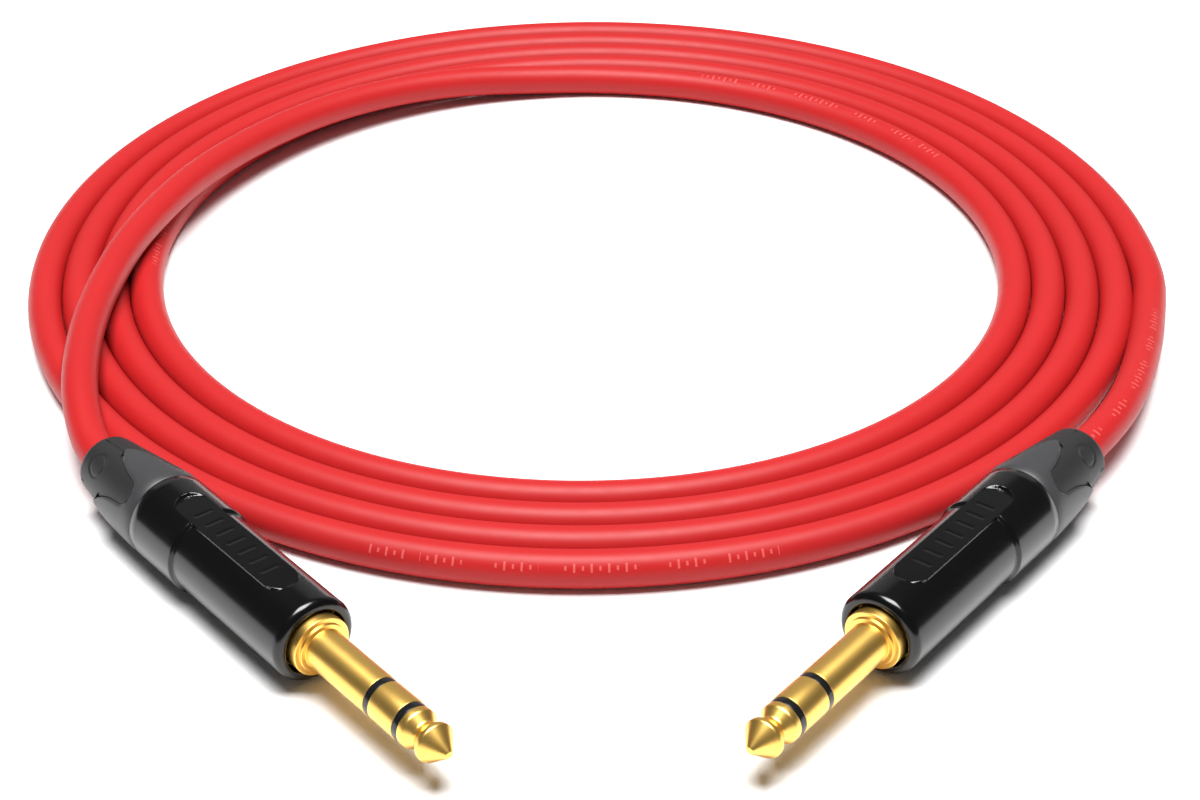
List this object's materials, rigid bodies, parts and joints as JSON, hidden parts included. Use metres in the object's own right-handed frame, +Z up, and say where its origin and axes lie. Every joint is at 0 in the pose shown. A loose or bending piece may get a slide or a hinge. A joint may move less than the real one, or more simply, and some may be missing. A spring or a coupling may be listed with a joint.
{
  "type": "instrument cable",
  "caption": "Jacketed audio cable in a flat coil with a straight three-contact 6.35 mm plug on each end; the plugs' cable boots unscrew.",
  "frame": {"origin": "on the surface the plugs lie on, midway between the two plugs (centre of their joint bounding box)", "axes": "+X from the left plug to the right plug, +Y from the plugs' noses towards the coil, +Z up"},
  "size_m": [0.2114, 0.2529, 0.0145],
  "materials": {
    "gold": "polished gold plate",
    "insulator": "glossy",
    "carrier": "moulded",
    "tinned": "tinned brass",
    "solder": "bright solder",
    "wire_white": "satin",
    "wire_red": "satin",
    "copper": "twisted copper strands",
    "liner": "satin",
    "jacket": "satin PVC",
    "housing": "glossy black",
    "chuck": "moulded",
    "boot_shell": "satin",
    "boot_grip": "soft-touch"
  },
  "bodies": {
    "cable": {"left_tip_contact": "gold", "left_tip_insulator": "insulator", "left_ring_contact": "gold", "left_ring_insulator": "insulator", "left_sleeve_contact": "gold", "left_contact_carrier": "carrier", "left_tip_terminal": "tinned", "left_ring_terminal": "tinned", "left_ground_terminal": "tinned", "left_solder_joints": "solder", "left_tip_conductors": "wire_white", "left_ring_conductors": "wire_red", "left_shield_pigtail": "copper", "left_cable_end": "jacket", "left_liner": "liner", "left_housing": "housing", "right_tip_contact": "gold", "right_tip_insulator": "insulator", "right_ring_contact": "gold", "right_ring_insulator": "insulator", "right_sleeve_contact": "gold", "right_contact_carrier": "carrier", "right_tip_terminal": "tinned", "right_ring_terminal": "tinned", "right_ground_terminal": "tinned", "right_solder_joints": "solder", "right_tip_conductors": "wire_white", "right_ring_conductors": "wire_red", "right_shield_pigtail": "copper", "right_cable_end": "jacket", "right_liner": "liner", "right_housing": "housing", "cable_coil": "jacket", "left_tail": "jacket", "right_tail": "jacket"},
    "left_chuck": {"left_chuck": "chuck"},
    "left_boot": {"left_boot_shell": "boot_shell", "left_boot_grip": "boot_grip"},
    "right_chuck": {"right_chuck": "chuck"},
    "right_boot": {"right_boot_shell": "boot_shell", "right_boot_grip": "boot_grip"}
  },
  "joints": [
    {"name": "left_chuck_slide", "type": "slide", "parent": "cable", "child": "left_chuck", "axis": [-0.6461, 0.7632, 0], "range_m": [0, 0.00451]},
    {"name": "left_boot_turn", "type": "hinge", "parent": "left_chuck", "child": "left_boot", "pos_m": [-0.06562, 0.01749, 0.00725], "axis": [-0.6461, 0.7632, 0], "range_deg": [0, 1080]},
    {"name": "right_chuck_slide", "type": "slide", "parent": "cable", "child": "right_chuck", "axis": [0.6252, 0.7804, 0], "range_m": [0, 0.00451]},
    {"name": "right_boot_turn", "type": "hinge", "parent": "right_chuck", "child": "right_boot", "pos_m": [0.06594, 0.01959, 0.00725], "axis": [0.6252, 0.7804, 0], "range_deg": [0, 1080]}
  ],
  "couplings": [
    {"joint": "left_chuck_slide", "follows": "left_boot_turn", "m_per_rad": 0.00023873},
    {"joint": "right_chuck_slide", "follows": "right_boot_turn", "m_per_rad": 0.00023873}
  ]
}
